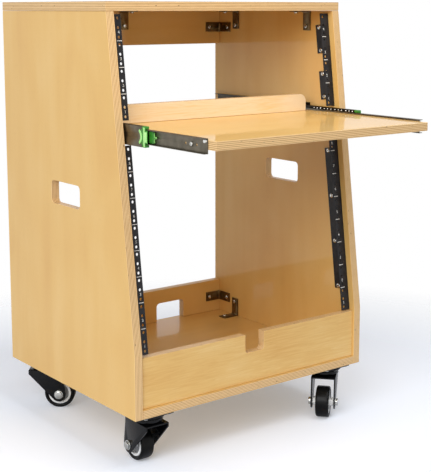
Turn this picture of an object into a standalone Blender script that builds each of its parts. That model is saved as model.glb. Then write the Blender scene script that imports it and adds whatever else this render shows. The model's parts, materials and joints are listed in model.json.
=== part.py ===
"""Slanted studio rack on casters, with a pull-out shelf on ball bearing slides.

The model is in metres, +Z up, and the rack's front faces -Y. Sizes below are the driving dimensions.
Every piece is placed in cabinet coordinates: x = 0 is the middle of the rack, y = 0 the lower front
edge of the cabinet and z = 0 the floor. One empty carries all of them to the part's own origin.
"""
import math

import bmesh
import bpy
from mathutils import Matrix, Vector

# Fits and counts
SEAT_GAP = 0.0003
RUNNING_GAP = 0.0004
ROUND_STEPS = 24
SMALL_ROUND_STEPS = 12
HOLE_STEPS = 8
CORNER_STEPS = 4
SMOOTH_BELOW_DEGREES = 35
CUT_OVERRUN = 0.004

# Plywood cabinet
PANEL = 0.016
INNER_WIDTH = 0.494
CABINET_HEIGHT = 0.700
CABINET_DEPTH = 0.445
TOP_SETBACK = 0.075
KINK_HEIGHT = 0.112
HAND_HOLE_LENGTH = 0.100
HAND_HOLE_HEIGHT = 0.042
HAND_HOLE_RADIUS = 0.008
HAND_HOLE_Y = 0.220
HAND_HOLE_HEIGHT_ABOVE_BASE = 0.359
FASCIA_HEIGHT = 0.090
FASCIA_SETBACK = 0.004
NOTCH_WIDTH = 0.043
NOTCH_DEPTH = 0.034
NOTCH_RADIUS = 0.006
REAR_BOARD_HEIGHT = 0.070
CABLE_CUT_WIDTH = 0.071
CABLE_CUT_HEIGHT = 0.040
CABLE_CUT_RADIUS = 0.008
CABLE_CUT_X = 0.111

# Rack rails: one rack unit is 44.45 mm, and at this width the two hole columns are 465.1 mm apart
RACK_UNIT = 0.04445
UPPER_UNITS = 4
LOWER_UNITS = 8
RAIL_HOLE_INSET = 0.01415
HOLE_HEIGHTS = (0.00635, 0.022225, 0.0381)
RAIL_HOLE = 0.005
RAIL_FACE = 0.020
RAIL_DEPTH = 0.035
RAIL_SHEET = 0.002
RAIL_LIP = 0.006
RAIL_SETBACK = 0.013
RAIL_START = -0.002
RAIL_BREAK = 0.042
UPPER_TABS = ((0.31, 1.55), (2.34, 3.58))
LOWER_TABS = ((0.89, 7.12),)

# Pull-out shelf
SHELF = 0.015
SHELF_RISE = 0.0017
SHELF_OVERHANG = 0.020
SHELF_DEPTH = 0.314
STOP_BOARD = 0.015
STOP_BOARD_HEIGHT = 0.033
STOP_BOARD_RADIUS = 0.014
STOP_BOARD_INSET = 0.001
STOP_BOARD_SIDE_GAP = 0.012

# Ball bearing slides, three members each, pulled out to their full length
SLIDE_LENGTH = 0.300
SLIDE_START = 0.134
SLIDE_WIDTH = 0.0127
SLIDE_SHEET = 0.0012
OUTER_MEMBER_HEIGHT = 0.045
OUTER_MEMBER_LIP = 0.0095
MIDDLE_MEMBER_HEIGHT = 0.0345
MIDDLE_MEMBER_LIP = 0.0084
INNER_MEMBER_HEIGHT = 0.0242
INNER_MEMBER_LIP = 0.0081
CAGE_SHEET = 0.0005
CAGE_LENGTH = 0.118
CAGE_LIP = 0.0062
BUMPER_LENGTH = 0.0155
LEVER_BODY_LENGTH = 0.0145
LEVER_BODY_HEIGHT = 0.0194
LEVER_BODY_RADIUS = 0.002
LEVER_TONGUE = 0.006
LEVER_TONGUE_HEIGHT = 0.0032
LEVER_THICKNESS = 0.003
LEVER_SET_BACK = 0.004

# Angle brackets
BRACKET_LEG = 0.038
BRACKET_WIDTH = 0.020
BRACKET_SHEET = 0.002
BRACKET_HOLE = 0.0045
BRACKET_HOLE_STEP = 0.030
FRONT_BRACKET_SETBACK = 0.071
REAR_BRACKET_SETBACK = 0.058
SIDE_BRACKET_DROP = 0.035

# Swivel casters
CASTER_HEIGHT = 0.100
CASTER_INSET_X = 0.0525
CASTER_INSET_Y = 0.041
CASTER_TRAIL = 0.028
PLATE_LENGTH = 0.076
PLATE_WIDTH = 0.064
PLATE_SHEET = 0.0025
PLATE_RADIUS = 0.006
UPPER_RACE_RADIUS = 0.031
UPPER_RACE_HEIGHT = 0.009
UPPER_RACE_CHAMFER = 0.0027
LOWER_RACE_RADIUS = 0.029
LOWER_RACE_TOP_RADIUS = 0.026
CROWN_HEIGHT = 0.077
FORK_SHEET = 0.0025
FORK_GAP = 0.042
FORK_REAR = 0.031
FORK_CROWN_FRONT = 0.0365
FORK_END_RADIUS = 0.014
FORK_END_ARC = (10, -137)
FORK_SKIRT = 0.005
KINGPIN_RADIUS = 0.005
KINGPIN_HEAD_RADIUS = 0.008
KINGPIN_HEAD = 0.003
WHEEL_RADIUS = 0.030
WHEEL_WIDTH = 0.026
TYRE_THICKNESS = 0.0075
TYRE_SHOULDER = 0.003
TYRE_SIDE_STEP = 0.001
TYRE_CROWN_STEP = 0.00075
RIM_DISH = 0.0035
RIM_WALL = 0.0045
HUB_BOSS_RADIUS = 0.008
AXLE_RADIUS = 0.004
AXLE_HEAD_RADIUS = 0.0075
AXLE_HEAD = 0.005
CASTER_HEADINGS = {
    "front_left": 89.0,
    "front_right": -139.0,
    "rear_left": -39.0,
    "rear_right": -75.0,
}

# Sizes that follow from the ones above
OUTER_WIDTH = INNER_WIDTH + 2 * PANEL
BASE = CASTER_HEIGHT
SIDE_TOP = BASE + CABINET_HEIGHT - PANEL
FLOOR_TOP = BASE + PANEL
SLANT_RUN = TOP_SETBACK
SLANT_RISE = CABINET_HEIGHT - PANEL - KINK_HEIGHT
SLANT = math.atan2(SLANT_RUN, SLANT_RISE)
UPPER_RAIL_START = RAIL_START + LOWER_UNITS * RACK_UNIT + RAIL_BREAK
SLIDE_Z = (
    BASE
    + KINK_HEIGHT
    + (UPPER_RAIL_START - RAIL_BREAK / 2) * math.cos(SLANT)
    - RAIL_SETBACK * math.sin(SLANT)
)
SHELF_FRONT = SLIDE_START - SLIDE_LENGTH - SHELF_OVERHANG
SHELF_HALF_WIDTH = INNER_WIDTH / 2 - SLIDE_WIDTH - 2 * SEAT_GAP
SHELF_TOP = SLIDE_Z + SHELF_RISE + SHELF / 2
ORIGIN_Y = (CABINET_DEPTH + SHELF_FRONT) / 2
MIDDLE_START = SLIDE_START - SLIDE_LENGTH / 2
INNER_START = SLIDE_START - SLIDE_LENGTH

# How a flat outline drawn in x and y is stood up
STAND_FACING_X = Matrix(((0, 0, 1), (1, 0, 0), (0, 1, 0))).to_4x4()
STAND_FACING_Y = Matrix(((1, 0, 0), (0, 0, -1), (0, 1, 0))).to_4x4()


def clear_scene():
    for old in list(bpy.data.objects):
        bpy.data.objects.remove(old, do_unlink=True)


def new_collection(name):
    made = bpy.data.collections.new(name)
    bpy.context.scene.collection.children.link(made)
    return made


def finish(name, colour, roughness, metallic=0.0):
    """A plain surface with one colour."""
    made = bpy.data.materials.new(name)
    made.use_nodes = True
    shader = made.node_tree.nodes["Principled BSDF"]
    shader.inputs["Base Color"].default_value = (*colour, 1.0)
    shader.inputs["Roughness"].default_value = roughness
    shader.inputs["Metallic"].default_value = metallic
    made.diffuse_color = (*colour, 1.0)
    return made


clear_scene()
PARTS = new_collection("slanted_studio_rack")
CUTTERS = new_collection("cutters")
PLYWOOD = finish("birch_plywood", (0.62, 0.40, 0.17), 0.35)
BLACK_STEEL = finish("black_coated_steel", (0.02, 0.02, 0.022), 0.4, 0.6)
ZINC_STEEL = finish("zinc_plated_steel", (0.34, 0.34, 0.35), 0.35, 1.0)
BRONZED_STEEL = finish("bronzed_steel", (0.05, 0.035, 0.025), 0.4, 0.8)
GREEN_PLASTIC = finish("green_acetal", (0.12, 0.45, 0.10), 0.4)
TYRE_RUBBER = finish("black_rubber", (0.018, 0.018, 0.018), 0.7)
RIM_PLASTIC = finish("grey_nylon", (0.55, 0.55, 0.55), 0.4)
BRIGHT_STEEL = finish("bright_steel", (0.6, 0.6, 0.6), 0.25, 1.0)


def tidy_mesh(mesh):
    """Welds loose seams and points every face outwards."""
    work = bmesh.new()
    work.from_mesh(mesh)
    bmesh.ops.remove_doubles(work, verts=work.verts, dist=1e-6)
    bmesh.ops.recalc_face_normals(work, faces=work.faces)
    work.to_mesh(mesh)
    work.free()
    return mesh


def evaluated_mesh(source):
    """The mesh that an object shows, after which the object itself is not needed."""
    depsgraph = bpy.context.evaluated_depsgraph_get()
    mesh = bpy.data.meshes.new_from_object(source.evaluated_get(depsgraph))
    bpy.data.objects.remove(source)
    return tidy_mesh(mesh)


def flat_mesh(name, loops, thickness, stand=None):
    """An outline with its holes, given a thickness to both sides of its own plane."""
    curve = bpy.data.curves.new(name, "CURVE")
    curve.dimensions = "2D"
    curve.fill_mode = "BOTH"
    curve.extrude = thickness / 2
    for loop in loops:
        spline = curve.splines.new("POLY")
        spline.points.add(len(loop) - 1)
        for point, (u, v) in zip(spline.points, loop):
            point.co = (u, v, 0.0, 1.0)
        spline.use_cyclic_u = True
    holder = bpy.data.objects.new(name, curve)
    PARTS.objects.link(holder)
    mesh = evaluated_mesh(holder)
    if stand is not None:
        mesh.transform(stand)
    return mesh


def turned_mesh(name, profile, steps, closed):
    """A profile of (radius, height) points turned about Z. A closed profile makes a ring."""
    mesh = bpy.data.meshes.new(name)
    edges = [(i, i + 1) for i in range(len(profile) - 1)]
    if closed:
        edges.append((len(profile) - 1, 0))
    mesh.from_pydata([(r, 0.0, z) for r, z in profile], edges, [])
    holder = bpy.data.objects.new(name, mesh)
    PARTS.objects.link(holder)
    screw = holder.modifiers.new("turn", "SCREW")
    screw.angle = math.tau
    screw.steps = steps
    screw.render_steps = steps
    screw.use_merge_vertices = True
    screw.merge_threshold = 1e-5
    made = evaluated_mesh(holder)
    bpy.data.meshes.remove(mesh)
    return made


def piece(name, mesh, surface, location=(0, 0, 0), parent=None, rotation=(0, 0, 0), smooth=False):
    """A named sub-part of the rack."""
    mesh.name = name
    made = bpy.data.objects.new(name, mesh)
    PARTS.objects.link(made)
    made.parent = RACK if parent is None else parent
    made.location = location
    made.rotation_euler = rotation
    mesh.materials.clear()
    mesh.materials.append(surface)
    if smooth:
        mesh.shade_smooth()
        mesh.set_sharp_from_angle(angle=math.radians(SMOOTH_BELOW_DEGREES))
    return made


def shape_with(target, mesh, operation, name):
    """Cuts, trims or joins a piece with another mesh that is given in the piece's own frame."""
    tool = bpy.data.objects.new(name, mesh)
    CUTTERS.objects.link(tool)
    tool.parent = target
    tool.hide_render = True
    tool.display_type = "WIRE"
    change = target.modifiers.new(name, "BOOLEAN")
    change.operation = operation
    change.solver = "EXACT"
    change.object = tool
    return tool


def rectangle(u0, v0, u1, v1):
    return [(u0, v0), (u1, v0), (u1, v1), (u0, v1)]


def arc(u, v, radius, start, end, steps=CORNER_STEPS):
    """Points on an arc from one angle to another, in degrees."""
    angles = [math.radians(start + (end - start) * i / steps) for i in range(steps + 1)]
    return [(u + radius * math.cos(a), v + radius * math.sin(a)) for a in angles]


def rounded_rectangle(u0, v0, u1, v1, radius):
    return (
        arc(u1 - radius, v0 + radius, radius, -90, 0)
        + arc(u1 - radius, v1 - radius, radius, 0, 90)
        + arc(u0 + radius, v1 - radius, radius, 90, 180)
        + arc(u0 + radius, v0 + radius, radius, 180, 270)
    )


def cylinders_and_boxes(name, cylinders=(), boxes=(), steps=HOLE_STEPS):
    """One cutter mesh from cylinders (centre, axis, radius, length) and boxes (low, high).

    A cylinder's flat sides lie on its radius, so a hole is never tighter than its size.
    """
    work = bmesh.new()
    for centre, axis, radius, length in cylinders:
        turn = Vector((0, 0, 1)).rotation_difference(Vector(axis)).to_matrix().to_4x4()
        corner_radius = radius / math.cos(math.pi / steps)
        bmesh.ops.create_cone(
            work,
            cap_ends=True,
            segments=steps,
            radius1=corner_radius,
            radius2=corner_radius,
            depth=length,
            matrix=Matrix.Translation(centre) @ turn,
        )
    for low, high in boxes:
        low, high = Vector(low), Vector(high)
        size = high - low
        place = Matrix.Translation((low + high) / 2) @ Matrix.Diagonal((*size, 1.0))
        bmesh.ops.create_cube(work, size=1.0, matrix=place)
    mesh = bpy.data.meshes.new(name)
    work.to_mesh(mesh)
    work.free()
    return mesh


def board(name, low, high, loops=None):
    """A plywood board that lies flat: its outline is seen from above."""
    outline = loops or [rectangle(low[0], low[1], high[0], high[1])]
    mesh = flat_mesh(name, outline, high[2] - low[2])
    return piece(name, mesh, PLYWOOD, (0, 0, (low[2] + high[2]) / 2))


def make_side_panels():
    """Slanted sides, each with a hand hole, joined by every other panel."""
    outline = [
        (0.0, BASE),
        (CABINET_DEPTH, BASE),
        (CABINET_DEPTH, SIDE_TOP - SEAT_GAP),
        (SLANT_RUN, SIDE_TOP - SEAT_GAP),
        (0.0, BASE + KINK_HEIGHT),
    ]
    hole_z = BASE + HAND_HOLE_HEIGHT_ABOVE_BASE
    hand_hole = rounded_rectangle(
        HAND_HOLE_Y - HAND_HOLE_LENGTH / 2,
        hole_z - HAND_HOLE_HEIGHT / 2,
        HAND_HOLE_Y + HAND_HOLE_LENGTH / 2,
        hole_z + HAND_HOLE_HEIGHT / 2,
        HAND_HOLE_RADIUS,
    )
    for side, name in ((-1, "side_panel_left"), (1, "side_panel_right")):
        mesh = flat_mesh(name, [outline, hand_hole], PANEL, STAND_FACING_X)
        piece(name, mesh, PLYWOOD, (side * (INNER_WIDTH + PANEL) / 2, 0, 0))


def make_cross_panels():
    """The top lies over the sides, and the rest fits between them."""
    half = INNER_WIDTH / 2 - SEAT_GAP
    top_low = (-OUTER_WIDTH / 2, TOP_SETBACK, SIDE_TOP)
    board("top_panel", top_low, (OUTER_WIDTH / 2, CABINET_DEPTH, SIDE_TOP + PANEL))
    board("bottom_panel", (-half, 0.0, BASE), (half, CABINET_DEPTH, FLOOR_TOP))

    low = FLOOR_TOP + SEAT_GAP
    top = FLOOR_TOP + FASCIA_HEIGHT
    notch_low = top - NOTCH_DEPTH
    notch = arc(-NOTCH_WIDTH / 2 + NOTCH_RADIUS, notch_low + NOTCH_RADIUS, NOTCH_RADIUS, 180, 270)
    notch += arc(NOTCH_WIDTH / 2 - NOTCH_RADIUS, notch_low + NOTCH_RADIUS, NOTCH_RADIUS, -90, 0)
    outline = [(half, low), (half, top), (NOTCH_WIDTH / 2, top)]
    outline += list(reversed(notch)) + [(-NOTCH_WIDTH / 2, top), (-half, top), (-half, low)]
    mesh = flat_mesh("front_fascia", [outline], PANEL, STAND_FACING_Y)
    piece("front_fascia", mesh, PLYWOOD, (0, FASCIA_SETBACK + PANEL / 2, 0))

    rear_y = CABINET_DEPTH - PANEL / 2
    upper_top = SIDE_TOP - SEAT_GAP
    outline = rectangle(-half, upper_top - REAR_BOARD_HEIGHT, half, upper_top)
    mesh = flat_mesh("rear_board_upper", [outline], PANEL, STAND_FACING_Y)
    piece("rear_board_upper", mesh, PLYWOOD, (0, rear_y, 0))

    outline = [(-half, low)]
    for middle in (-CABLE_CUT_X, CABLE_CUT_X):
        left, right = middle - CABLE_CUT_WIDTH / 2, middle + CABLE_CUT_WIDTH / 2
        shoulder = low + CABLE_CUT_HEIGHT - CABLE_CUT_RADIUS
        outline += [(left, low)]
        outline += arc(left + CABLE_CUT_RADIUS, shoulder, CABLE_CUT_RADIUS, 180, 90)
        outline += arc(right - CABLE_CUT_RADIUS, shoulder, CABLE_CUT_RADIUS, 90, 0)
        outline += [(right, low)]
    outline += [(half, low), (half, low + REAR_BOARD_HEIGHT), (-half, low + REAR_BOARD_HEIGHT)]
    mesh = flat_mesh("rear_board_lower", [outline], PANEL, STAND_FACING_Y)
    piece("rear_board_lower", mesh, PLYWOOD, (0, rear_y, 0))


def make_rail(name, side, units, start, tabs):
    """An angle of bent sheet: a punched face to the front and screw tabs along the side panel.

    The rail is drawn upright, with x running inwards from its side panel and y rearwards.
    """
    length = units * RACK_UNIT
    inward = -side
    section = [
        (0.0, 0.0),
        (inward * RAIL_FACE, 0.0),
        (inward * RAIL_FACE, RAIL_SHEET),
        (inward * RAIL_SHEET, RAIL_SHEET),
        (inward * RAIL_SHEET, RAIL_DEPTH),
        (0.0, RAIL_DEPTH),
    ]
    mesh = flat_mesh(name, [section], length)
    mesh.transform(Matrix.Translation((0, 0, length / 2)))
    along = RAIL_START + start
    slant_y = along * math.sin(SLANT) + RAIL_SETBACK * math.cos(SLANT)
    slant_z = along * math.cos(SLANT) - RAIL_SETBACK * math.sin(SLANT)
    place = (side * (INNER_WIDTH / 2 - SEAT_GAP), slant_y, BASE + KINK_HEIGHT + slant_z)
    made = piece(name, mesh, BLACK_STEEL, place, rotation=(-SLANT, 0, 0))

    holes = []
    for unit in range(units):
        for height in HOLE_HEIGHTS:
            centre = (inward * RAIL_HOLE_INSET, RAIL_SHEET / 2, unit * RACK_UNIT + height)
            holes.append((centre, (0, 1, 0), RAIL_HOLE / 2, RAIL_SHEET + 2 * CUT_OVERRUN))
    edges = [0.0] + [edge * RACK_UNIT for tab in tabs for edge in tab] + [length]
    windows = []
    for low, high in zip(edges[::2], edges[1::2]):
        bottom = low - CUT_OVERRUN if low == 0.0 else low
        top = high + CUT_OVERRUN if high == length else high
        x_range = sorted((-inward * CUT_OVERRUN, inward * (RAIL_SHEET + CUT_OVERRUN)))
        windows.append(
            ((x_range[0], RAIL_LIP, bottom), (x_range[1], RAIL_DEPTH + CUT_OVERRUN, top))
        )
    cutter = cylinders_and_boxes(name + "_punch", holes, windows)
    shape_with(made, cutter, "DIFFERENCE", name + "_punch")


def make_rails():
    for side, word in ((-1, "left"), (1, "right")):
        make_rail("rack_rail_lower_" + word, side, LOWER_UNITS, 0.0, LOWER_TABS)
        upper_start = UPPER_RAIL_START - RAIL_START
        make_rail("rack_rail_upper_" + word, side, UPPER_UNITS, upper_start, UPPER_TABS)


def channel(side, web, lip, height, sheet, opens_inwards=True):
    """The outline of a channel seen from the front, web along the height, x inwards from web."""
    inward = -side if opens_inwards else side
    half = height / 2
    return [
        (web, -half),
        (web + inward * lip, -half),
        (web + inward * lip, -half + sheet),
        (web + inward * sheet, -half + sheet),
        (web + inward * sheet, half - sheet),
        (web + inward * lip, half - sheet),
        (web + inward * lip, half),
        (web, half),
    ]


def slide_member(name, outline, start, length, surface):
    mesh = flat_mesh(name, [outline], length, STAND_FACING_Y)
    return piece(name, mesh, surface, (0, start + length / 2, SLIDE_Z))


def make_slides():
    """Outer, middle and inner members nested in one another, with a ball cage in each gap."""
    outer_inside = OUTER_MEMBER_HEIGHT - 2 * SLIDE_SHEET
    middle_inside = MIDDLE_MEMBER_HEIGHT - 2 * SLIDE_SHEET
    outer_race = (outer_inside + MIDDLE_MEMBER_HEIGHT) / 2 + CAGE_SHEET
    inner_race = (middle_inside + INNER_MEMBER_HEIGHT) / 2 + CAGE_SHEET
    cage_step = SLIDE_SHEET + SEAT_GAP
    middle_step = cage_step + CAGE_SHEET + SEAT_GAP
    inner_cage_step = middle_step + SLIDE_SHEET + SEAT_GAP
    for side, word in ((-1, "left"), (1, "right")):
        wall = side * (INNER_WIDTH / 2 - SEAT_GAP)
        inward = -side
        outline = channel(side, wall, OUTER_MEMBER_LIP, OUTER_MEMBER_HEIGHT, SLIDE_SHEET)
        slide_member("slide_outer_" + word, outline, SLIDE_START, SLIDE_LENGTH, ZINC_STEEL)

        web = wall + inward * middle_step
        outline = channel(side, web, MIDDLE_MEMBER_LIP, MIDDLE_MEMBER_HEIGHT, SLIDE_SHEET)
        start = MIDDLE_START + BUMPER_LENGTH + SEAT_GAP
        length = MIDDLE_START + SLIDE_LENGTH - start
        slide_member("slide_middle_" + word, outline, start, length, ZINC_STEEL)

        web = wall + inward * SLIDE_WIDTH
        outline = channel(side, web, INNER_MEMBER_LIP, INNER_MEMBER_HEIGHT, SLIDE_SHEET, False)
        slide_member("slide_inner_" + word, outline, INNER_START, SLIDE_LENGTH, ZINC_STEEL)

        web = wall + inward * cage_step
        outline = channel(side, web, CAGE_LIP, outer_race, CAGE_SHEET)
        start = (SLIDE_START + MIDDLE_START + SLIDE_LENGTH - CAGE_LENGTH) / 2
        slide_member("ball_cage_outer_" + word, outline, start, CAGE_LENGTH, BRIGHT_STEEL)

        web = wall + inward * inner_cage_step
        outline = channel(side, web, CAGE_LIP, inner_race, CAGE_SHEET)
        start = MIDDLE_START + BUMPER_LENGTH + 2 * SEAT_GAP
        slide_member("ball_cage_inner_" + word, outline, start, CAGE_LENGTH, BRIGHT_STEEL)

        make_bumper(side, word, wall + inward * middle_step)
        make_lever(side, word, wall + inward * (SLIDE_WIDTH - SLIDE_SHEET))


def make_bumper(side, word, web):
    """A green plastic cap that ends the middle member at the front, round the inner member."""
    half = MIDDLE_MEMBER_HEIGHT / 2
    inside = INNER_MEMBER_HEIGHT / 2 + RUNNING_GAP
    inward = -side
    front = web + inward * MIDDLE_MEMBER_LIP
    floor = web + inward * SLIDE_SHEET
    outline = [
        (web, -half),
        (front, -half),
        (front, -inside),
        (floor, -inside),
        (floor, inside),
        (front, inside),
        (front, half),
        (web, half),
    ]
    slide_member("slide_bumper_" + word, outline, MIDDLE_START, BUMPER_LENGTH, GREEN_PLASTIC)


def make_lever(side, word, seat):
    """A green release lever across the inner member's channel, pressed at its tongue.

    It turns about the middle of its body, whose rear end lies inside the bumper.
    """
    half_length, half_height = LEVER_BODY_LENGTH / 2, LEVER_BODY_HEIGHT / 2
    radius = LEVER_BODY_RADIUS
    round_x, round_z = half_length - radius, half_height - radius
    tip = LEVER_TONGUE_HEIGHT / 2
    outline = arc(round_x, -round_z, radius, -90, 0)
    outline += arc(round_x, round_z, radius, 0, 90)
    outline += arc(-round_x, round_z, radius, 90, 180)
    outline += [(-half_length, tip)]
    outline += arc(-half_length - LEVER_TONGUE + tip, 0.0, tip, 90, 270)
    outline += [(-half_length, -tip)]
    outline += arc(-round_x, -round_z, radius, 180, 270)
    mesh = flat_mesh("release_lever_" + word, [outline], LEVER_THICKNESS, STAND_FACING_X)
    x = seat + side * (SEAT_GAP + LEVER_THICKNESS / 2)
    y = MIDDLE_START + LEVER_SET_BACK - half_length
    piece("release_lever_" + word, mesh, GREEN_PLASTIC, (x, y, SLIDE_Z), smooth=True)


def make_shelf():
    """The shelf hangs between the inner members and has a raised board along its rear edge."""
    low = (-SHELF_HALF_WIDTH, SHELF_FRONT, SHELF_TOP - SHELF)
    rear = SHELF_FRONT + SHELF_DEPTH
    board("shelf_board", low, (SHELF_HALF_WIDTH, rear, SHELF_TOP))
    half = INNER_WIDTH / 2 - RAIL_FACE - STOP_BOARD_SIDE_GAP
    bottom = SHELF_TOP + SEAT_GAP
    top = SHELF_TOP + STOP_BOARD_HEIGHT
    shoulder = top - STOP_BOARD_RADIUS
    outline = [(-half, bottom), (half, bottom)]
    outline += arc(half - STOP_BOARD_RADIUS, shoulder, STOP_BOARD_RADIUS, 0, 90)
    outline += arc(-half + STOP_BOARD_RADIUS, shoulder, STOP_BOARD_RADIUS, 90, 180)
    mesh = flat_mesh("shelf_stop_board", [outline], STOP_BOARD, STAND_FACING_Y)
    y = rear - STOP_BOARD_INSET - STOP_BOARD / 2
    piece("shelf_stop_board", mesh, PLYWOOD, (0, y, 0))


def make_bracket(name, corner, first, second):
    """A bent angle in a corner, one leg along each of two directions, with a screw hole in each."""
    sheet = BRACKET_SHEET
    outline = [
        (0.0, 0.0),
        (BRACKET_LEG, 0.0),
        (BRACKET_LEG, sheet),
        (2 * sheet, sheet),
        (sheet, 2 * sheet),
        (sheet, BRACKET_LEG),
        (0.0, BRACKET_LEG),
    ]
    mesh = flat_mesh(name, [outline], BRACKET_WIDTH)
    drill_length = sheet + 2 * CUT_OVERRUN
    holes = [
        ((BRACKET_HOLE_STEP, sheet / 2, 0), (0, 1, 0), BRACKET_HOLE / 2, drill_length),
        ((sheet / 2, BRACKET_HOLE_STEP, 0), (1, 0, 0), BRACKET_HOLE / 2, drill_length),
    ]
    first, second = Vector(first), Vector(second)
    third = first.cross(second)
    turn = Matrix((first, second, third)).transposed()
    place = Vector(corner) + SEAT_GAP * (first + second)
    made = piece(name, mesh, BRONZED_STEEL, place, rotation=turn.to_euler())
    shape_with(made, cylinders_and_boxes(name + "_drill", holes), "DIFFERENCE", name + "_drill")


def make_brackets():
    rear_face = CABINET_DEPTH - PANEL
    front_y = TOP_SETBACK + FRONT_BRACKET_SETBACK
    rear_y = rear_face - REAR_BRACKET_SETBACK
    down, up, forward = (0, 0, -1), (0, 0, 1), (0, -1, 0)
    make_bracket("bracket_rear_board_top", (0, rear_face, SIDE_TOP), down, forward)
    for side, word in ((-1, "left"), (1, "right")):
        wall = side * INNER_WIDTH / 2
        inwards = (-side, 0, 0)
        upper_z = SIDE_TOP - SIDE_BRACKET_DROP
        lower_z = FLOOR_TOP + SIDE_BRACKET_DROP
        make_bracket("bracket_top_front_" + word, (wall, front_y, SIDE_TOP), down, inwards)
        make_bracket("bracket_top_rear_" + word, (wall, rear_y, SIDE_TOP), down, inwards)
        make_bracket("bracket_base_" + word, (wall, rear_y, FLOOR_TOP), up, inwards)
        make_bracket("bracket_rear_upper_" + word, (wall, rear_face, upper_z), inwards, forward)
        make_bracket("bracket_rear_lower_" + word, (wall, rear_face, lower_z), inwards, forward)


def make_top_plate(name, x, y):
    """Screwed to the bottom panel: a plate, the upper ball race and the kingpin in one piece."""
    top = BASE - SEAT_GAP
    half_x, half_y = PLATE_WIDTH / 2, PLATE_LENGTH / 2
    outline = rounded_rectangle(-half_x, -half_y, half_x, half_y, PLATE_RADIUS)
    mesh = flat_mesh(name, [outline], PLATE_SHEET)
    centre_z = top - PLATE_SHEET / 2
    made = piece(name, mesh, BLACK_STEEL, (x, y, centre_z), smooth=True)
    race_low = top - PLATE_SHEET - UPPER_RACE_HEIGHT
    head_top = CROWN_HEIGHT - RUNNING_GAP
    profile = [
        (0.0, centre_z),
        (UPPER_RACE_RADIUS, centre_z),
        (UPPER_RACE_RADIUS, race_low + UPPER_RACE_CHAMFER),
        (UPPER_RACE_RADIUS - UPPER_RACE_CHAMFER, race_low),
        (KINGPIN_RADIUS, race_low),
        (KINGPIN_RADIUS, head_top),
        (KINGPIN_HEAD_RADIUS, head_top),
        (KINGPIN_HEAD_RADIUS, head_top - KINGPIN_HEAD),
        (0.0, head_top - KINGPIN_HEAD),
    ]
    race = turned_mesh(name + "_race", profile, ROUND_STEPS, False)
    race.transform(Matrix.Translation((0, 0, -centre_z)))
    race.shade_smooth()
    race.set_sharp_from_angle(angle=math.radians(SMOOTH_BELOW_DEGREES))
    shape_with(made, race, "UNION", name + "_race")


def make_fork(name, swivel):
    """A stamped fork: a bent channel trimmed to a tapering side, with the lower race on top."""
    outer = FORK_GAP / 2 + FORK_SHEET
    inner = FORK_GAP / 2
    across = 2 * (outer + CUT_OVERRUN)
    crown_top = CROWN_HEIGHT + FORK_SHEET
    low = WHEEL_RADIUS - FORK_END_RADIUS - CUT_OVERRUN
    section = [
        (-outer, low),
        (-inner, low),
        (-inner, CROWN_HEIGHT),
        (inner, CROWN_HEIGHT),
        (inner, low),
        (outer, low),
        (outer, crown_top),
        (-outer, crown_top),
    ]
    reach = CASTER_TRAIL + FORK_END_RADIUS + CUT_OVERRUN
    length = reach + FORK_REAR + CUT_OVERRUN
    mesh = flat_mesh(name, [section], length, STAND_FACING_X)
    mesh.transform(Matrix.Translation(((reach - FORK_REAR - CUT_OVERRUN) / 2, 0, 0)))
    made = piece(name, mesh, BLACK_STEEL, (0, 0, 0), parent=swivel, smooth=True)

    skirt = CROWN_HEIGHT - FORK_SKIRT
    side = [(-FORK_REAR, skirt), (-FORK_REAR, crown_top + CUT_OVERRUN)]
    side += [(FORK_CROWN_FRONT, crown_top + CUT_OVERRUN), (FORK_CROWN_FRONT, skirt)]
    side += arc(CASTER_TRAIL, WHEEL_RADIUS, FORK_END_RADIUS, *FORK_END_ARC, 3 * CORNER_STEPS)
    trim = flat_mesh(name + "_side", [side], across, STAND_FACING_Y)
    shape_with(made, trim, "INTERSECT", name + "_side")

    race_top = BASE - SEAT_GAP - PLATE_SHEET - UPPER_RACE_HEIGHT - RUNNING_GAP
    profile = [
        (0.0, race_top),
        (LOWER_RACE_TOP_RADIUS, race_top),
        (LOWER_RACE_RADIUS - FORK_SHEET, crown_top + FORK_SHEET),
        (FORK_GAP / 2, crown_top - FORK_SHEET / 2),
        (0.0, crown_top - FORK_SHEET / 2),
    ]
    race = turned_mesh(name + "_race", profile, ROUND_STEPS, False)
    shape_with(made, race, "UNION", name + "_race")

    holes = [
        ((0, 0, crown_top), (0, 0, 1), KINGPIN_RADIUS + RUNNING_GAP, 2 * (race_top - CROWN_HEIGHT)),
        ((CASTER_TRAIL, 0, WHEEL_RADIUS), (0, 1, 0), AXLE_RADIUS + SEAT_GAP, across),
    ]
    drill = cylinders_and_boxes(name + "_drill", holes, steps=SMALL_ROUND_STEPS)
    shape_with(made, drill, "DIFFERENCE", name + "_drill")


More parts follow.
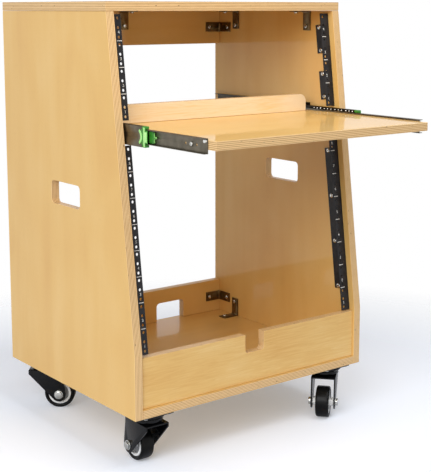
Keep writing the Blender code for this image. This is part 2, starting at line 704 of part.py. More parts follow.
def make_wheel(prefix, hub_frame):
    """A rubber tyre on a dished rim with a long boss, both turned about the axle."""
    half = WHEEL_WIDTH / 2
    rim_radius = WHEEL_RADIUS - TYRE_THICKNESS
    seat = rim_radius + SEAT_GAP
    tread = half - TYRE_SHOULDER
    upper = [
        (seat, half - TYRE_SIDE_STEP),
        (WHEEL_RADIUS - TYRE_SHOULDER, half),
        (WHEEL_RADIUS - TYRE_CROWN_STEP, half - TYRE_SIDE_STEP),
        (WHEEL_RADIUS, tread),
    ]
    profile = upper + [(r, -z) for r, z in reversed(upper)]
    tyre = turned_mesh(prefix + "_tyre", profile, ROUND_STEPS, True)
    across = Matrix.Rotation(math.pi / 2, 4, "X")
    tyre.transform(across)
    piece(prefix + "_tyre", tyre, TYRE_RUBBER, parent=hub_frame, smooth=True)

    bore = AXLE_RADIUS + RUNNING_GAP
    boss_end = FORK_GAP / 2 - RUNNING_GAP
    dish = half - RIM_DISH
    edge = half - TYRE_SIDE_STEP
    upper = [
        (bore, boss_end),
        (HUB_BOSS_RADIUS, boss_end),
        (HUB_BOSS_RADIUS, dish),
        (rim_radius - RIM_WALL, dish),
        (rim_radius - RIM_WALL / 2, edge),
        (rim_radius, edge),
    ]
    profile = upper + [(r, -z) for r, z in reversed(upper)]
    rim = turned_mesh(prefix + "_rim", profile, ROUND_STEPS, True)
    rim.transform(across)
    piece(prefix + "_rim", rim, RIM_PLASTIC, parent=hub_frame, smooth=True)


def make_axle(name, hub_frame):
    """A bolt across the fork, with its head outside one leg and its nut outside the other."""
    shank = FORK_GAP / 2 + FORK_SHEET + SEAT_GAP
    end = shank + AXLE_HEAD
    upper = [
        (0.0, end),
        (AXLE_HEAD_RADIUS, end),
        (AXLE_HEAD_RADIUS, shank),
        (AXLE_RADIUS, shank),
    ]
    profile = upper + [(r, -z) for r, z in reversed(upper)]
    axle = turned_mesh(name, profile, SMALL_ROUND_STEPS, False)
    axle.transform(Matrix.Rotation(math.pi / 2, 4, "X"))
    piece(name, axle, BRIGHT_STEEL, parent=hub_frame, smooth=True)


def make_frame_empty(name, parent, location, turn=0.0):
    made = bpy.data.objects.new(name, None)
    PARTS.objects.link(made)
    made.parent = parent
    made.location = location
    made.rotation_euler = (0, 0, turn)
    return made


def make_casters():
    """Each caster's frame has x along its trail, from the kingpin to the wheel."""
    x = OUTER_WIDTH / 2 - CASTER_INSET_X
    corners = {
        "front_left": (-x, CASTER_INSET_Y),
        "front_right": (x, CASTER_INSET_Y),
        "rear_left": (-x, CABINET_DEPTH - CASTER_INSET_Y),
        "rear_right": (x, CABINET_DEPTH - CASTER_INSET_Y),
    }
    for corner, (cx, cy) in corners.items():
        prefix = "caster_" + corner
        make_top_plate(prefix + "_plate", cx, cy)
        heading = math.radians(CASTER_HEADINGS[corner])
        swivel = make_frame_empty(prefix + "_swivel", RACK, (cx, cy, 0), heading)
        make_fork(prefix + "_fork", swivel)
        hub = make_frame_empty(prefix + "_hub", swivel, (CASTER_TRAIL, 0, WHEEL_RADIUS))
        make_wheel(prefix, hub)
        make_axle(prefix + "_axle", hub)


RACK = bpy.data.objects.new("rack", None)
PARTS.objects.link(RACK)
RACK.location = (0, -ORIGIN_Y, 0)

make_side_panels()
make_cross_panels()
make_rails()
make_slides()
make_shelf()
make_brackets()
make_casters()
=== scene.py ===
"""Looks of a slanted studio rack: birch plywood, punched rails, a pull-out shelf and casters."""

import json
import math

import bpy
from bpy.props import FloatProperty, FloatVectorProperty, IntProperty, PointerProperty
from mathutils import Matrix, Vector

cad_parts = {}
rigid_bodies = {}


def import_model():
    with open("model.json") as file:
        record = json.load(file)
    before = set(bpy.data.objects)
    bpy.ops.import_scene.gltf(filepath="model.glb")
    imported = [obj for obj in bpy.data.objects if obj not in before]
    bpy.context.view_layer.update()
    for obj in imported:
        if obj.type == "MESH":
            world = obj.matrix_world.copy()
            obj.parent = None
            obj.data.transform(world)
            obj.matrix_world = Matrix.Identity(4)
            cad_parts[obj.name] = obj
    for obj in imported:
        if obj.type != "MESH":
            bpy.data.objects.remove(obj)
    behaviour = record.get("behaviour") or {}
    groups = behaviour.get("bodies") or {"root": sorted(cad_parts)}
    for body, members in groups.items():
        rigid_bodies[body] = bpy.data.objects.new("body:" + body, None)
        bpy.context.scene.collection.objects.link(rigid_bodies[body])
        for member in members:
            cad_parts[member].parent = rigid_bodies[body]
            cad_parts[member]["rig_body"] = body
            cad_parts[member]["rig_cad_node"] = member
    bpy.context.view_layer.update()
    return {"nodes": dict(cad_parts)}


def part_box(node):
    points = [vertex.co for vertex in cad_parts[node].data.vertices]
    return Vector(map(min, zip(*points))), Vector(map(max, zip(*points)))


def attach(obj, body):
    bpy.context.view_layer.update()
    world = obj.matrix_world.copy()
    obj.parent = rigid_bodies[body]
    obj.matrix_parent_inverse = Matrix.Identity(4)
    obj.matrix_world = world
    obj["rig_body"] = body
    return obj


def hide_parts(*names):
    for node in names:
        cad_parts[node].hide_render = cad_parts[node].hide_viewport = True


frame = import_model()

bl_info = {
    "name": "Slanted studio rack",
    "version": (1, 0, 0),
    "blender": (4, 5, 0),
    "location": "View3D > Sidebar > Rack",
    "description": "Builds the finished pieces of a plywood studio rack around its solid model",
    "category": "Object",
}

SIDES = (("left", -1), ("right", 1))

# Where the slides' backs and middles lie, out from the middle plane
SLIDE_BACK, SLIDE_MIDDLE = 0.2467, 0.2400

# The heading of each caster in degrees
CORNERS = {"front_left": 89.0, "front_right": -139.0, "rear_left": -39.0, "rear_right": -75.0}

# A point in the middle of the cabinet, which the screws of the brackets face
HEART = Vector((0.0, 0.12, 0.45))

# The rails follow the slanted edge of the side panels
SLANT = math.atan2(0.075, 0.572)
UP_SLOPE = Vector((0, math.sin(SLANT), math.cos(SLANT)))
OUT_OF_SLOPE = Vector((0, -math.cos(SLANT), math.sin(SLANT)))
KINK = Vector((0, -0.1295, 0.212))
RAIL_SETBACK = 0.013
RACK_UNIT = 0.04445
HOLE_COLUMN = 0.23255

# A unit's number stands at this share of its height, and print is this proud of the rail
NUMBER_SHARE = 0.3214
PRINT_PROUD = 0.00004

# The tabs' screws lie this far out from the middle plane and this far behind the rail's face
TAB_SCREW_X = 0.2447
TAB_SCREW_PROUD = -0.0235

# Where each rail starts above the kink, its units, and its screws in units
RAILS = {
    "lower": {"start": -0.002, "units": 8, "screws": (1.005, 3.005, 5.005, 7.005)},
    "upper": {"start": 0.3956, "units": 4, "screws": (0.43, 1.43, 2.46, 3.46)},
}

# Each board's body, its thickness axis and the axis its face grain runs along
BOARDS = {
    "side_panel_left": ("cabinet", 0, 2),
    "side_panel_right": ("cabinet", 0, 2),
    "top_panel": ("cabinet", 2, 0),
    "bottom_panel": ("cabinet", 2, 0),
    "front_fascia": ("cabinet", 1, 0),
    "rear_board_upper": ("cabinet", 1, 0),
    "rear_board_lower": ("cabinet", 1, 0),
    "shelf_board": ("shelf", 2, 0),
    "shelf_stop_board": ("shelf", 1, 0),
}

# The radius of a slide's holes, each member's body and where its holes lie from its front end
SLIDE_HOLE = 0.0021
SLIDE_MEMBERS = {
    "outer": ("cabinet", (0.030, 0.130, 0.250)),
    "middle": ("slide_middle_{}", ()),
    "inner": ("shelf", (0.028, 0.057, 0.150, 0.250)),
}

# How deep in from the slide's back its inner member ends
INNER_DEPTH = 0.0115

# The shelf's screws: how far behind the inner member's front end, and the radius of their heads
SHELF_SCREWS = (0.0405, 0.200)
SHELF_SCREW_HEAD = 0.0036

# The end stop: its size, how far behind the front end and how high above the member's middle
STOP_RADIUS, STOP_LENGTH, STOP_BACK, STOP_RISE = 0.0029, 0.0040, 0.0040, 0.0078

# The balls' radius, how far their middles sink into the cage, and how deep in they run in each cage
BALL_RADIUS, BALL_SINK = 0.0019, 0.00025
BALL_DEPTH = {"outer": 0.0068, "inner": 0.0087}

# The cap's shoulders are cut away between these heights from its middle, this far back
SHOULDER_RISE, SHOULDER_TOP, SHOULDER_BACK = 0.0108, 0.0200, 0.0062

# The length of the lever's lighter tongue
TONGUE_LENGTH = 0.0061

# Outlines of the latch, back from the cap's front end and up from its middle
LATCH_GROUND = [(0.0108, -0.0140), (0.0176, -0.0120), (0.0176, 0.0120), (0.0108, 0.0140)]
LATCH_SPINE = [(0.0064, 0.0158), (0.0108, 0.0158), (0.0108, -0.0158), (0.0064, -0.0158)]
LATCH_SPINE += [(0.0064, -0.0084), (0.0004, -0.0084), (0.0004, 0.0084), (0.0064, 0.0084)]

# The centre of the latch's spring arm, behind the cap's front end, and its two radii
ARM_CENTRE, ARM_OUTER, ARM_INNER = 0.0290, 0.0143, 0.0098

# A bracket's width, its sheet, the distance of a screw from its corner and the radius of its head
BRACKET_WIDTH, BRACKET_SHEET, BRACKET_SCREW, BRACKET_SCREW_HEAD = 0.020, 0.002, 0.030, 0.0040

# Each ring of a wheel: radius, bore, width and rounding
TYRE_RING = (0.0300, 0.0228, 0.0260, 0.0042)
RIM_RING = (0.0225, 0.0180, 0.0240, 0.0009)
WEB_RING = (0.0183, 0.0075, 0.0160, 0.0008)
BOSS_RING = (0.0080, 0.0044, 0.0412, 0.0006)
WASHER_RING = (0.0088, 0.0036, 0.0010, 0.0002)

# The axle's shank, and its ends: how far out they and their washers sit, their size and their dome
SHANK_RADIUS, SHANK_LENGTH, SHANK_EASE = 0.0040, 0.0560, 0.0006
END_OUT, WASHER_OUT, END_RADIUS, END_HEIGHT = 0.0266, 0.0243, 0.0074, 0.0038
DOME_INSET, DOME_RISE, END_EASE = 0.0014, 0.0003, 0.0005

# The caster plate's sheet, the radius of its screws' heads, and their places from its middle
PLATE_SHEET, PLATE_SCREW_HEAD = 0.0025, 0.0042
PLATE_SCREWS = [(x, y) for x in (-0.0245, 0.0245) for y in (-0.0305, 0.0305)]

# The photograph's long side, the lens's focal length and the middle row of its view, in pixels
LONG_SIDE, FOCAL_LENGTH, MIDDLE_ROW = 472, 1106.03, 180.0

# The camera's place, and how far round from the front and how far down it looks, in degrees
CAMERA_PLACE = (-1.2369, -1.6226, 0.7875)
CAMERA_ROUND, CAMERA_DOWN = 37.455, 8.796

# Each softbox: its place, its size and the setting for its power, all aimed at one point
SOFTBOXES = {
    "key_softbox": ((-2.3, -1.4, 1.9), (2.4, 1.8), "key"),
    "top_softbox": ((0.1, -1.2, 2.9), (1.6, 1.4), "top"),
}
SOFTBOX_AIM = Vector((0, 0, 0.4))

# Each worked finish: its second tone, the size of its marks in metres, roughness, relief and values
# that are the same all over
FINISHES = {
    # Powder coat is baked on, and its fine orange peel spreads the highlights
    "black_powder_coat": ("#2A2A2D", (0.0008,) * 3, 0.38, 0.25, {"Specular IOR Level": 0.25}),
    # Screen printed ink lies in a thin matt film that is not quite even
    "screen_printed_ink": ("#D8D8D4", (0.0006,) * 3, 0.5, 0.05, {}),
    # Zinc plating is polished on screws and nuts: small clear highlights on a light ground
    "bright_zinc_steel": ("#D6D6D2", (0.0012,) * 3, 0.22, 0.08, {"Metallic": 1.0}),
    # Strip steel is rolled along its length and plated, so long faint marks streak the shine
    "zinc_plated_strip": ("#746D60", (0.004, 0.09, 0.0014), 0.34, 0.08, {"Metallic": 1.0}),
    # Painted shade and reflection: the slide members' faces turned away from the wall are a darker
    # brown steel, standing in for the shadow in the channels and the brown wood they mirror
    "greased_steel_track": ("#3C352A", (0.004, 0.06, 0.0014), 0.40, 0.08, {"Metallic": 0.8}),
    # Bearing balls are ground and polished, so each one is a white point; their cages are dull, and
    # their dark brown is painted shade for the shadow in the channels
    "polished_ball_steel": ("#F4F4F2", (0.0012,) * 3, 0.12, 0.02, {"Metallic": 1.0}),
    "dull_cage_steel": ("#4A4236", (0.0012,) * 3, 0.5, 0.08, {"Metallic": 0.8}),
    # Acetal is injection moulded: clear colour, soft shine and faint flow marks
    "moulded_light_green_acetal": ("#B8F09A", (0.0009,) * 3, 0.32, 0.10, {}),
    # The deep green is the same acetal darkened: painted shade on the cap, the latch's ground and
    # the lever's body
    "moulded_deep_green_acetal": ("#3F9430", (0.0009,) * 3, 0.36, 0.10, {}),
    # Nylon is moulded too, in white, light and grey, and takes a milky soft shine
    "white_nylon": ("#F2F2EE", (0.0009,) * 3, 0.4, 0.10, {}),
    "light_nylon": ("#FAFAF8", (0.001,) * 3, 0.35, 0.10, {}),
    "grey_nylon": ("#9C9D9E", (0.001,) * 3, 0.42, 0.10, {}),
    # Steel stamped and tumbled in a bronze finish: dark, with a warm metal shine along its bends
    "bronze_finished_steel": ("#7A6745", (0.0009,) * 3, 0.30, 0.12, {"Metallic": 0.9}),
    # Stoved enamel over steel: deep black with sharp clear reflections
    "gloss_black_enamel": ("#101012", (0.003,) * 3, 0.13, 0.06, {"Specular IOR Level": 0.22}),
    # Rubber is moulded and worn smooth where it rolls: dark, with a dull broad sheen
    "black_rubber": ("#131313", (0.0011,) * 3, 0.30, 0.12, {"Specular IOR Level": 0.12}),
}

# The sockets of a Mix node that take its two colours
FIRST, SECOND = 6, 7


def hex_colour(text):
    """An sRGB hex value as linear red, green, blue and full alpha."""
    values = [int(text[i : i + 2], 16) / 255 for i in (1, 3, 5)]
    linear = [v / 12.92 if v <= 0.04045 else ((v + 0.055) / 1.055) ** 2.4 for v in values]
    return (*linear, 1.0)


def colour_property(name, description, text):
    return FloatVectorProperty(
        name=name,
        description=description,
        default=hex_colour(text),
        subtype="COLOR",
        size=4,
        min=0.0,
        max=1.0,
    )


def length_property(name, description, default):
    return FloatProperty(
        name=name, description=description, default=default, unit="LENGTH", min=0.0, precision=5
    )


class RackBoardSettings(bpy.types.PropertyGroup):
    ease: length_property("Eased edge", "Width of the sanded edge of a board", 0.0008)
    ply: length_property("Ply", "Thickness of one ply", 0.00136)
    light: colour_property("Light veneer", "Lightest tone of the face veneer", "#EFCA86")
    middle: colour_property("Veneer", "Main tone of the face veneer", "#E8BC70")
    dark: colour_property("Dark veneer", "Darkest tone of the face veneer", "#DFAC60")
    # Painted light: the pale tones are a lighter copy of the same veneer, standing in for the
    # brighter light and sheen on the shelf's stop board
    pale: colour_property("Pale veneer", "Fresh veneer of the shelf's stop board", "#F6DDB6")
    pore: colour_property("Pore", "Short fine pores in the face veneer", "#B58347")
    edge_light: colour_property("Light ply", "Ply that shows its long grain", "#EECB95")
    edge_dark: colour_property("Dark ply", "Ply that shows its end grain", "#A87338")


class RackRailSettings(bpy.types.PropertyGroup):
    coat: colour_property("Coat", "Black powder coat of the rails", "#1A1A1D")
    ink: colour_property("Ink", "Printed unit numbers and lines", "#F0F0EC")
    digit_height: length_property("Digit height", "Height of a printed unit number", 0.0052)
    line_length: length_property("Line length", "Length of a printed unit line", 0.0100)
    line_width: length_property("Line width", "Width of a printed unit line", 0.0012)
    screw: length_property("Screw head", "Radius of a pan head screw", 0.0042)


class RackSlideSettings(bpy.types.PropertyGroup):
    zinc: colour_property("Zinc", "Plated steel of the slide members", "#625D52")
    green: colour_property("Green", "Raised parts of the moulded latch", "#9AE67A")
    # Painted shade: the deep green is the green acetal darkened where the cap, the latch's ground
    # and the lever's body lie in shadow
    deep: colour_property("Deep green", "Ground of the moulded latch and its lever", "#2E7A22")
    rib: length_property("Rib height", "Height of the rolled rib on the middle member", 0.0115)
    ball_pitch: length_property("Ball pitch", "Distance between balls of a group", 0.0090)
    ball_groups: IntProperty(name="Ball groups", description="Groups of balls in a cage", default=4)


class RackBracketSettings(bpy.types.PropertyGroup):
    coat: colour_property("Coat", "Dark bronze finish of the angle brackets", "#5C4A30")
    ease: length_property("Eased edge", "Rounding of the stamped edges", 0.0004)


class RackCasterSettings(bpy.types.PropertyGroup):
    enamel: colour_property("Enamel", "Gloss black of fork and plate", "#08080A")
    rubber: colour_property("Rubber", "Black of the tyre", "#0B0B0B")
    rim: colour_property("Rim", "Light nylon of the rim", "#F2F2F0")
    web: colour_property("Web", "Darker nylon of the wheel's web", "#8A8B8C")
    steps: IntProperty(name="Steps", description="Faces round a wheel", default=64, min=24)


class RackStageSettings(bpy.types.PropertyGroup):
    floor: colour_property("Floor", "Pale floor", "#E2E8F4")
    lift: FloatProperty(name="Lift", description="Floor's white for the camera alone", default=0.21)
    fill: FloatProperty(name="Fill", description="Light from all round", default=0.37)
    key: FloatProperty(name="Key", description="The large softbox", default=66.0, unit="POWER")
    top: FloatProperty(name="Top", description="The softbox above", default=38.0, unit="POWER")


def deselect_everything():
    for item in list(bpy.context.selected_objects):
        item.select_set(False)


def take_up(item):
    """Makes one object the only selected and active one."""
    deselect_everything()
    item.select_set(True)
    bpy.context.view_layer.objects.active = item


def edit_faces(item, test):
    """Opens a mesh for editing with only the faces that pass a test selected."""
    take_up(item)
    bpy.ops.object.mode_set(mode="EDIT")
    bpy.ops.mesh.select_mode(type="FACE")
    bpy.ops.mesh.select_all(action="DESELECT")
    bpy.ops.object.mode_set(mode="OBJECT")
    for face in item.data.polygons:
        face.select = test(face)
    bpy.ops.object.mode_set(mode="EDIT")


def close_edit():
    bpy.ops.object.mode_set(mode="OBJECT")


def apply_change(item, kind, **settings):
    """Gives an object a modifier with its settings, and applies it."""
    take_up(item)
    change = item.modifiers.new(kind.lower(), kind)
    for key, value in settings.items():
        setattr(change, key, value)
    bpy.ops.object.modifier_apply(modifier=change.name)


def placed_copy(item, place):
    """A copy with its own mesh, moved to a place by its points."""
    made = item.copy()
    made.data = item.data.copy()
    bpy.context.scene.collection.objects.link(made)
    made.data.transform(place)
    return made


def settle(item):
    """Moves an object's place into its points, so that the object sits at the origin."""
    take_up(item)
    bpy.ops.object.transform_apply(location=True, rotation=True, scale=True)
    return item


def joined(items):
    """Several objects made one."""
    if len(items) > 1:
        deselect_everything()
        for item in items:
            item.select_set(True)
        bpy.context.view_layer.objects.active = items[0]
        bpy.ops.object.join()
    return items[0]


def drop(*items):
    for item in items:
        bpy.data.objects.remove(item)


def coat(item, material):
    """Gives one part of a piece its finish before the parts are joined."""
    item.data.materials.clear()
    item.data.materials.append(material)
    return item


def keep(item, name, body, slot, *materials, smooth=35.0):
    """Names a finished piece, gives it its finish and lets it ride on its body."""
    item.name = name
    item.data.name = name
    if materials:
        marks = [face.material_index for face in item.data.polygons]
        item.data.materials.clear()
        for material in materials:
            item.data.materials.append(material)
        for face, mark in zip(item.data.polygons, marks):
            face.material_index = min(mark, len(materials) - 1)
    if smooth:
        take_up(item)
        bpy.ops.object.shade_smooth_by_angle(angle=math.radians(smooth))
    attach(item, body)
    return item


def finish_node(node, material):
    """Gives a solid of the frame its finish."""
    for entry in frame["nodes"][node].material_slots:
        entry.material = material


def merged_copy(node):
    """A copy of a solid, with its points merged and its flat faces whole."""
    source = frame["nodes"][node]
    made = source.copy()
    made.data = source.data.copy()
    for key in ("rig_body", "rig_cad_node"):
        del made[key]
    made.parent = None
    bpy.context.scene.collection.objects.link(made)
    take_up(made)
    bpy.ops.mesh.customdata_custom_splitnormals_clear()
    bpy.ops.object.mode_set(mode="EDIT")
    bpy.ops.mesh.select_all(action="SELECT")
    bpy.ops.mesh.remove_doubles(threshold=0.00001)
    bpy.ops.mesh.dissolve_limited(angle_limit=math.radians(1.0))
    close_edit()
    return made


def ease_edges(item, width, segments=2, limit=30.0):
    """Rounds the edges of a piece that turn by more than a limit in degrees."""
    apply_change(
        item,
        "BEVEL",
        width=width,
        segments=segments,
        limit_method="ANGLE",
        angle_limit=math.radians(limit),
        use_clamp_overlap=True,
    )
    return item


def eased_copy(node, width, segments=2, limit=30.0):
    return ease_edges(merged_copy(node), width, segments, limit)


def carve(item, tools):
    """Cuts a piece with other pieces and removes them."""
    for tool in tools:
        apply_change(item, "BOOLEAN", operation="DIFFERENCE", object=tool, solver="EXACT")
    drop(*tools)


def block(low, high):
    """A plain block between two corners, to cut with."""
    deselect_everything()
    middle = [(a + b) / 2 for a, b in zip(low, high)]
    bpy.ops.mesh.primitive_cube_add(size=1.0, location=middle)
    made = bpy.context.active_object
    made.scale = [b - a for a, b in zip(low, high)]
    return settle(made)


def disc(centre, axis, radius, length, steps=20):
    """A cylinder along an axis, to cut or to shape further."""
    deselect_everything()
    bpy.ops.mesh.primitive_cylinder_add(vertices=steps, radius=radius, depth=length)
    made = bpy.context.active_object
    made.data.transform(facing(axis, centre))
    return made


def facing(direction, location, turn=0.0):
    """The place of a thing modelled towards +Z, such as a screw, that faces along a direction."""
    look = Vector((0, 0, 1)).rotation_difference(Vector(direction)).to_matrix().to_4x4()
    return Matrix.Translation(location) @ look @ Matrix.Rotation(turn, 4, "Z")


def output_in_use(node):
    """The first output that a node shows, such as the colour of a Mix node for colours."""
    return next(output for output in node.outputs if output.enabled)


def add_node(tree, kind, inputs=None, stops=None, **settings):
    """Adds a node with its settings, what its sockets take and the stops of its colour ramp.

    A socket takes a value, an output, or a node, which stands for its first output in use.
    """
    node = tree.nodes.new(kind)
    for key, value in settings.items():
        setattr(node, key, value)
    for socket, value in (inputs or {}).items():
        if isinstance(value, bpy.types.Node):
            value = output_in_use(value)
        if isinstance(value, bpy.types.NodeSocket):
            tree.links.new(value, node.inputs[socket])
        else:
            node.inputs[socket].default_value = value
    if stops:
        elements = node.color_ramp.elements
        while len(elements) < len(stops):
            elements.new(0.5)
        for element, (position, colour) in zip(elements, stops):
            element.position = position
            element.color = colour
    return node


def new_material(name, colour, values):
    """A material with its shader, whose even values are set on its own sockets."""
    made = bpy.data.materials.new(name)
    made.use_nodes = True
    made.diffuse_color = colour
    shader = made.node_tree.nodes["Principled BSDF"]
    shader.inputs["Base Color"].default_value = colour
    for socket, value in values.items():
        shader.inputs[socket].default_value = value
    return made, made.node_tree, shader


def connect(tree, shader, sockets):
    """Links each node's output in use to a socket of the shader."""
    for socket, node in sockets.items():
        tree.links.new(output_in_use(node), shader.inputs[socket])


def lacquered_birch_veneer(name, settings, tones, bands, span):
    """Birch plywood face under clear gloss lacquer.

    Cut round the log, it shows the eye an even pale honey wood with broad soft bands and short fine
    pores. Cut across the log, it shows fine wavy lines of grain. The tones run from dark to light,
    the bands are given as the patterns below are, and span is the noise that covers all tones.
    """
    made, tree, shader = new_material(
        name,
        tuple(tones[1]),
        {"Specular IOR Level": 0.15, "Coat Weight": 0.50, "Coat Roughness": 0.05},
    )
    uv = add_node(tree, "ShaderNodeTexCoord").outputs["UV"]
    # Width and length in metres, detail and waviness. Birch fibres are 0.03 mm wide, and are drawn
    # wider so that they show
    patterns = {
        "bands": bands,
        "clouds": (0.090, 0.180, 1.0, 0.5),
        "fibres": (0.0017, 0.090, 3.0, 0.2),
        "pores": (0.0008, 0.012, 0.0, 0.0),
    }
    noise = {}
    for pattern, (width, length, detail, distortion) in patterns.items():
        scale = (1.0 / width, 1.0 / length, 1.0)
        place = add_node(tree, "ShaderNodeMapping", {"Vector": uv, "Scale": scale})
        sockets = {"Vector": place, "Scale": 1.0, "Detail": detail, "Distortion": distortion}
        noise[pattern] = add_node(tree, "ShaderNodeTexNoise", sockets)
    cloud_share, fibre_share = 1.0, 0.15
    sockets = {0: noise["clouds"], 1: cloud_share, 2: noise["bands"]}
    figure = add_node(tree, "ShaderNodeMath", sockets, operation="MULTIPLY_ADD")
    sockets = {0: noise["fibres"], 1: fibre_share, 2: figure}
    grain = add_node(tree, "ShaderNodeMath", sockets, operation="MULTIPLY_ADD")
    middle = (1.0 + cloud_share + fibre_share) / 2
    sockets = {"Value": grain, "From Min": middle - span / 2, "From Max": middle + span / 2}
    tone = add_node(tree, "ShaderNodeMapRange", sockets)
    stops = [(place, tuple(colour)) for place, colour in zip((0.0, 0.5, 1.0), tones)]
    wood = add_node(tree, "ShaderNodeValToRGB", {"Fac": tone}, stops)
    sockets = {"Value": noise["pores"], "From Min": 0.68, "From Max": 0.82, "To Max": 0.15}
    fleck = add_node(tree, "ShaderNodeMapRange", sockets)
    sockets = {0: fleck, FIRST: wood, SECOND: tuple(settings.pore)}
    coloured = add_node(tree, "ShaderNodeMix", sockets, data_type="RGBA")
    spread = {"From Min": 0.3, "From Max": 0.7, "To Min": 0.36, "To Max": 0.46}
    rough = add_node(tree, "ShaderNodeMapRange", {"Value": noise["bands"], **spread})
    sockets = {"Height": noise["fibres"], "Strength": 0.08, "Distance": 0.0001}
    raised = add_node(tree, "ShaderNodeBump", sockets)
    connect(tree, shader, {"Base Color": coloured, "Roughness": rough, "Normal": raised})
    return made


def birch_ply_edge(settings):
    """Cut edge of birch plywood under the same lacquer: pale long grain and brown end grain.

    The eye sees fine soft stripes along the edge, and now and then a small dark void.
    """
    made, tree, shader = new_material(
        "birch_ply_edge",
        tuple(settings.edge_light),
        {"Specular IOR Level": 0.15, "Coat Weight": 0.25, "Coat Roughness": 0.12},
    )
    uv = add_node(tree, "ShaderNodeTexCoord").outputs["UV"]
    # Length along the edge and depth across it in metres, and detail
    patterns = {
        "wander": (0.060, 0.0040, 1.0),
        "fibres": (0.020, 0.0005, 3.0),
        "voids": (0.009, 0.0016, 0.0),
    }
    noise = {}
    for name, (length, depth, detail) in patterns.items():
        scale = (1.0 / length, 1.0 / depth, 1.0)
        place = add_node(tree, "ShaderNodeMapping", {"Vector": uv, "Scale": scale})
        sockets = {"Vector": place, "Scale": 1.0, "Detail": detail}
        noise[name] = add_node(tree, "ShaderNodeTexNoise", sockets)
    # A ply strays by up to half a millimetre, and one turn is a pale and a brown ply
    stray = 0.0005
    parts = add_node(tree, "ShaderNodeSeparateXYZ", {"Vector": uv})
    sockets = {0: noise["wander"], 1: stray, 2: parts.outputs["Y"]}
    depth = add_node(tree, "ShaderNodeMath", sockets, operation="MULTIPLY_ADD")
    sockets = {0: depth, 1: 0.5 / settings.ply}
    count = add_node(tree, "ShaderNodeMath", sockets, operation="MULTIPLY")
    turn = add_node(tree, "ShaderNodeMath", {0: count}, operation="FRACT")
    light, dark = tuple(settings.edge_light), tuple(settings.edge_dark)
    stops = [(0.0, light), (0.54, light), (0.62, dark), (0.88, dark), (1.0, light)]
    plies = add_node(tree, "ShaderNodeValToRGB", {"Fac": turn}, stops)
    sockets = {"Value": noise["fibres"], "From Min": 0.35, "From Max": 0.75, "To Max": 0.5}
    worn = add_node(tree, "ShaderNodeMapRange", sockets)
    sockets = {0: worn, FIRST: plies, SECOND: light}
    mixed = add_node(tree, "ShaderNodeMix", sockets, data_type="RGBA")
    sockets = {"Value": noise["voids"], "From Min": 0.80, "From Max": 0.84, "To Max": 0.9}
    void = add_node(tree, "ShaderNodeMapRange", sockets)
    sockets = {0: void, FIRST: mixed, SECOND: hex_colour("#3E2410")}
    coloured = add_node(tree, "ShaderNodeMix", sockets, data_type="RGBA")
    spread = {"From Min": 0.3, "From Max": 0.7, "To Min": 0.40, "To Max": 0.55}
    rough = add_node(tree, "ShaderNodeMapRange", {"Value": noise["fibres"], **spread})
    sockets = {"Height": noise["fibres"], "Strength": 0.15, "Distance": 0.0001}
    raised = add_node(tree, "ShaderNodeBump", sockets)
    connect(tree, shader, {"Base Color": coloured, "Roughness": rough, "Normal": raised})
    return made


def worked_surface(name, colour):
    """A finish with two close tones in soft clouds, roughened and raised by its marks."""
    second, marks, roughness, relief, values = FINISHES[name]
    colour = tuple(colour)
    made, tree, shader = new_material(name, colour, values)
    place = add_node(tree, "ShaderNodeTexCoord").outputs["Object"]
    # Sixty clouds to the metre, each 17 mm wide
    cloud = add_node(tree, "ShaderNodeTexNoise", {"Vector": place, "Scale": 60.0, "Detail": 2.0})
    stops = [(0.35, colour), (0.65, hex_colour(second))]
    tone = add_node(tree, "ShaderNodeValToRGB", {"Fac": cloud}, stops)
    scale = tuple(1.0 / size for size in marks)
    spread = add_node(tree, "ShaderNodeMapping", {"Vector": place, "Scale": scale})
    grain = add_node(tree, "ShaderNodeTexNoise", {"Vector": spread, "Scale": 1.0, "Detail": 3.0})
    low, high = roughness * 0.85, roughness * 1.2
    sockets = {"Value": grain, "From Min": 0.3, "From Max": 0.7, "To Min": low, "To Max": high}
    rough = add_node(tree, "ShaderNodeMapRange", sockets)
    sockets = {"Height": grain, "Strength": relief, "Distance": 0.0001}
    raised = add_node(tree, "ShaderNodeBump", sockets)
    connect(tree, shader, {"Base Color": tone, "Roughness": rough, "Normal": raised})
    return made


def bright_zinc_steel():
    """The finish that all screws and nuts share, made once."""
    known = bpy.data.materials.get("bright_zinc_steel")
    return known or worked_surface("bright_zinc_steel", hex_colour("#B4B4B0"))


def pan_head(radius):
    """A pan head screw that faces +Z, with a cross recess: a bevelled disc cut by two bars."""
    deselect_everything()
    height, dome, crown, rounding = radius * 0.6, radius * 0.16, radius * 0.42, radius * 0.14
    length, width, depth = radius * 1.05, radius * 0.24, radius * 0.5
    place = (0, 0, height / 2)
    bpy.ops.mesh.primitive_cylinder_add(vertices=20, radius=radius, depth=height, location=place)
    head = settle(bpy.context.active_object)
    edit_faces(head, lambda face: face.normal.z > 0.9)
    bpy.ops.mesh.inset(thickness=crown)
    bpy.ops.transform.translate(value=(0, 0, dome))
    close_edit()
    apply_change(head, "BEVEL", width=rounding, segments=2, limit_method="ANGLE")
    bars = []
    for size in ((length, width, depth), (width, length, depth)):
        deselect_everything()
        bpy.ops.mesh.primitive_cube_add(size=1.0, location=(0, 0, height + dome))
        bar = bpy.context.active_object
        bar.scale = size
        bars.append(settle(bar))
    carve(head, bars)
    return head


